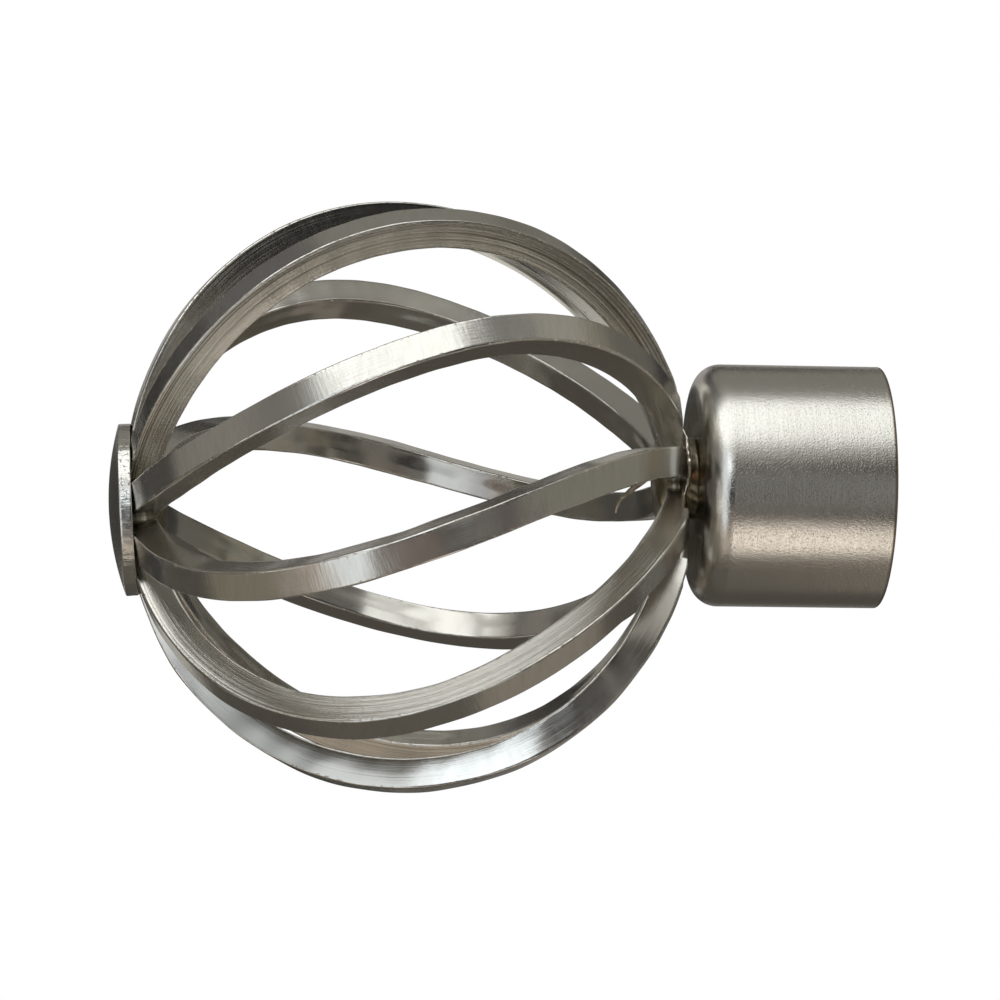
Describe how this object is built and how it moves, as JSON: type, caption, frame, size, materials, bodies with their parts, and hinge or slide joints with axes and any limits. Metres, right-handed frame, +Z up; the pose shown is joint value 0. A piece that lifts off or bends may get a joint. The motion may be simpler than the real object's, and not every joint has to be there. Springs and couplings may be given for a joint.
{
  "type": "curtain pole finial",
  "caption": "Decorative end piece for a curtain pole: a drawn metal cup that slides over the pole, carrying an open ball cage of twisted square bars closed by a dished disc.",
  "frame": {"origin": "centre of the cup's mouth, on the axis of the pole socket", "axes": "+X along the pole socket's axis and out of its mouth, towards the pole, with the cage towards -X; +Z up as the finial is pictured; the pictured side faces -Y"},
  "size_m": [0.0964, 0.0753, 0.0737],
  "materials": {
    "nickel_cup": "satin nickel, brushed round the cup",
    "nickel_bar": "satin nickel over drawn square bar",
    "nickel_disc": "satin nickel over pressed and sheared sheet",
    "weld_metal": "plated weld bead with brown heat tint"
  },
  "bodies": {
    "root": {"pole_cup": "nickel_cup", "cage_bar_01": "nickel_bar", "cage_bar_02": "nickel_bar", "cage_bar_03": "nickel_bar", "cage_bar_04": "nickel_bar", "cage_bar_05": "nickel_bar", "cage_bar_06": "nickel_bar", "cage_bar_07": "nickel_bar", "cage_bar_08": "nickel_bar", "cage_bar_09": "nickel_bar", "cage_bar_10": "nickel_bar", "end_disc": "nickel_disc", "cup_weld": "weld_metal", "disc_weld": "weld_metal"}
  },
  "joints": []
}
